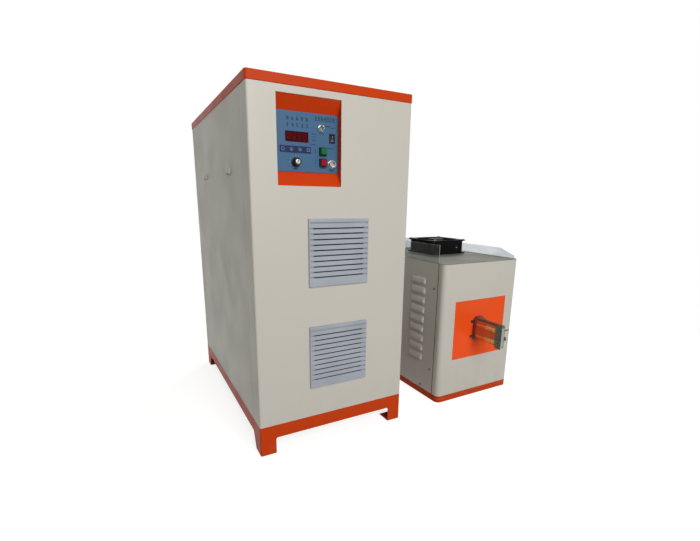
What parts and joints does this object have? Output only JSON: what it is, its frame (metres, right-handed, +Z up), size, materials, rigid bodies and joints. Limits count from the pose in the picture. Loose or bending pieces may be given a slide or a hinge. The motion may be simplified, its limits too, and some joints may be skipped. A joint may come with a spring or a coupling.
{
  "type": "induction heating machine",
  "caption": "Induction heating machine: tall cream power cabinet with recessed control panel and louvred filter fans, and a low transformer head with copper output terminals.",
  "frame": {"origin": "middle of the footprint of both units together, on the floor", "axes": "+X runs along both fronts from the cabinet to the head, +Y runs to the back, +Z runs up"},
  "size_m": [0.92, 0.848, 0.9],
  "materials": {
    "cabinet_paint": "fine-textured cream powder coat",
    "orange_paint": "satin orange powder coat",
    "panel_paint": "matt blue printed panel",
    "zinc": "zinc-plated folded sheet",
    "display_glass": "dark red display window",
    "strip_film": "dark blue key film",
    "key_plastic": "pale blue key tops",
    "black_plastic": "black moulded plastic",
    "silver_metal": "bright nickel plate",
    "green_plastic": "green push-button cap",
    "red_plastic": "red push-button cap",
    "grille_plastic": "blue-grey moulded plastic",
    "filter_mat": "dark filter fibre",
    "brass": "turned brass",
    "module_plastic": "dark moulded power modules",
    "can_metal": "drawn aluminium cans",
    "core_steel": "dark core with varnished coils",
    "board_green": "green circuit board",
    "lever_plastic": "light grey switch lever",
    "clear_plastic": "clear acrylic sheet",
    "board_red": "dark red insulating laminate",
    "copper": "polished copper bar",
    "clamp_metal": "ground grey-green clamp block",
    "winding": "varnished copper winding"
  },
  "bodies": {
    "machine": {"base_plinth": "orange_paint", "inner_frame": "zinc", "front_shell": "cabinet_paint", "left_side_panel": "cabinet_paint", "right_side_panel": "cabinet_paint", "rear_panel": "cabinet_paint", "top_cap": "orange_paint", "control_recess": "orange_paint", "control_panel": "panel_paint", "display_window": "display_glass", "key_strip": "strip_film", "knob_potentiometer": "silver_metal", "toggle_body": "silver_metal", "rocker_housing": "black_plastic", "button_housings": "black_plastic", "foot_switch_socket": "silver_metal", "grille_frames": "grille_plastic", "filter_mats": "filter_mat", "fan_frames": "black_plastic", "cooling_manifold": "brass", "inverter_modules": "module_plastic", "capacitor_bank": "can_metal", "filter_choke": "core_steel", "control_board": "board_green", "breaker_body": "black_plastic", "cable_glands": "black_plastic", "earth_stud": "brass", "panel_screws": "silver_metal", "head_base": "orange_paint", "head_front_shell": "cabinet_paint", "head_body_shell": "cabinet_paint", "head_top_plate": "cabinet_paint", "clear_guard": "clear_plastic", "head_fan_frame": "black_plastic", "output_recess": "orange_paint", "terminal_board": "board_red", "output_terminals": "copper", "terminal_insulator": "board_red", "left_clamp_plate": "clamp_metal", "right_clamp_plate": "black_plastic", "terminal_bolts": "silver_metal", "transformer_core": "core_steel", "transformer_winding": "winding", "resonant_capacitors": "module_plastic", "head_water_block": "brass"},
    "knob": {"power_knob": "black_plastic"},
    "toggle": {"toggle_lever": "silver_metal"},
    "rocker": {"rocker_paddle": "black_plastic"},
    "start_cap": {"start_button": "green_plastic"},
    "stop_cap": {"stop_button": "red_plastic"},
    "mode_key_top": {"mode_key": "key_plastic"},
    "up_key_top": {"up_key": "key_plastic"},
    "down_key_top": {"down_key": "key_plastic"},
    "reset_key_top": {"reset_key": "key_plastic"},
    "upper_rotor": {"upper_fan_rotor": "black_plastic"},
    "upper_cover": {"upper_grille_cover": "grille_plastic"},
    "lower_rotor": {"lower_fan_rotor": "black_plastic"},
    "lower_cover": {"lower_grille_cover": "grille_plastic"},
    "head_rotor": {"head_fan_rotor": "black_plastic"},
    "breaker_handle": {"breaker_lever": "lever_plastic"}
  },
  "joints": [
    {"name": "power_knob_turn", "type": "hinge", "parent": "machine", "child": "knob", "pos_m": [-0.33694, -0.318, 0.72262], "axis": [0, 1, 0], "range_deg": [-150, 150]},
    {"name": "toggle_throw", "type": "hinge", "parent": "machine", "child": "toggle", "pos_m": [-0.27346, -0.322, 0.80095], "axis": [1, 0, 0], "range_deg": [0, 24]},
    {"name": "rocker_throw", "type": "hinge", "parent": "machine", "child": "rocker", "pos_m": [-0.24395, -0.317, 0.77999], "axis": [1, 0, 0], "range_deg": [-18, 0]},
    {"name": "start_press", "type": "slide", "parent": "machine", "child": "start_cap", "axis": [0, 1, 0], "range_m": [0, 0.003], "stiffness_N_per_m": 400, "springref_m": -0.002},
    {"name": "stop_press", "type": "slide", "parent": "machine", "child": "stop_cap", "axis": [0, 1, 0], "range_m": [0, 0.003], "stiffness_N_per_m": 400, "springref_m": -0.002},
    {"name": "mode_key_press", "type": "slide", "parent": "machine", "child": "mode_key_top", "axis": [0, 1, 0], "range_m": [0, 0.0004], "stiffness_N_per_m": 1500, "springref_m": -0.0004},
    {"name": "up_key_press", "type": "slide", "parent": "machine", "child": "up_key_top", "axis": [0, 1, 0], "range_m": [0, 0.0004], "stiffness_N_per_m": 1500, "springref_m": -0.0004},
    {"name": "down_key_press", "type": "slide", "parent": "machine", "child": "down_key_top", "axis": [0, 1, 0], "range_m": [0, 0.0004], "stiffness_N_per_m": 1500, "springref_m": -0.0004},
    {"name": "reset_key_press", "type": "slide", "parent": "machine", "child": "reset_key_top", "axis": [0, 1, 0], "range_m": [0, 0.0004], "stiffness_N_per_m": 1500, "springref_m": -0.0004},
    {"name": "upper_fan_spin", "type": "hinge", "parent": "machine", "child": "upper_rotor", "pos_m": [-0.23325, -0.306, 0.51188], "axis": [0, 1, 0], "continuous": true},
    {"name": "upper_cover_pull", "type": "slide", "parent": "machine", "child": "upper_cover", "axis": [0, -1, 0], "range_m": [0, 0.03]},
    {"name": "lower_fan_spin", "type": "hinge", "parent": "machine", "child": "lower_rotor", "pos_m": [-0.23325, -0.306, 0.2434], "axis": [0, 1, 0], "continuous": true},
    {"name": "lower_cover_pull", "type": "slide", "parent": "machine", "child": "lower_cover", "axis": [0, -1, 0], "range_m": [0, 0.03]},
    {"name": "head_fan_spin", "type": "hinge", "parent": "machine", "child": "head_rotor", "pos_m": [0.32412, -0.0518, 0.48], "axis": [0, 0, 1], "continuous": true},
    {"name": "breaker_throw", "type": "hinge", "parent": "machine", "child": "breaker_handle", "pos_m": [-0.341, 0.382, 0.595], "axis": [1, 0, 0], "range_deg": [-40, 0]}
  ]
}
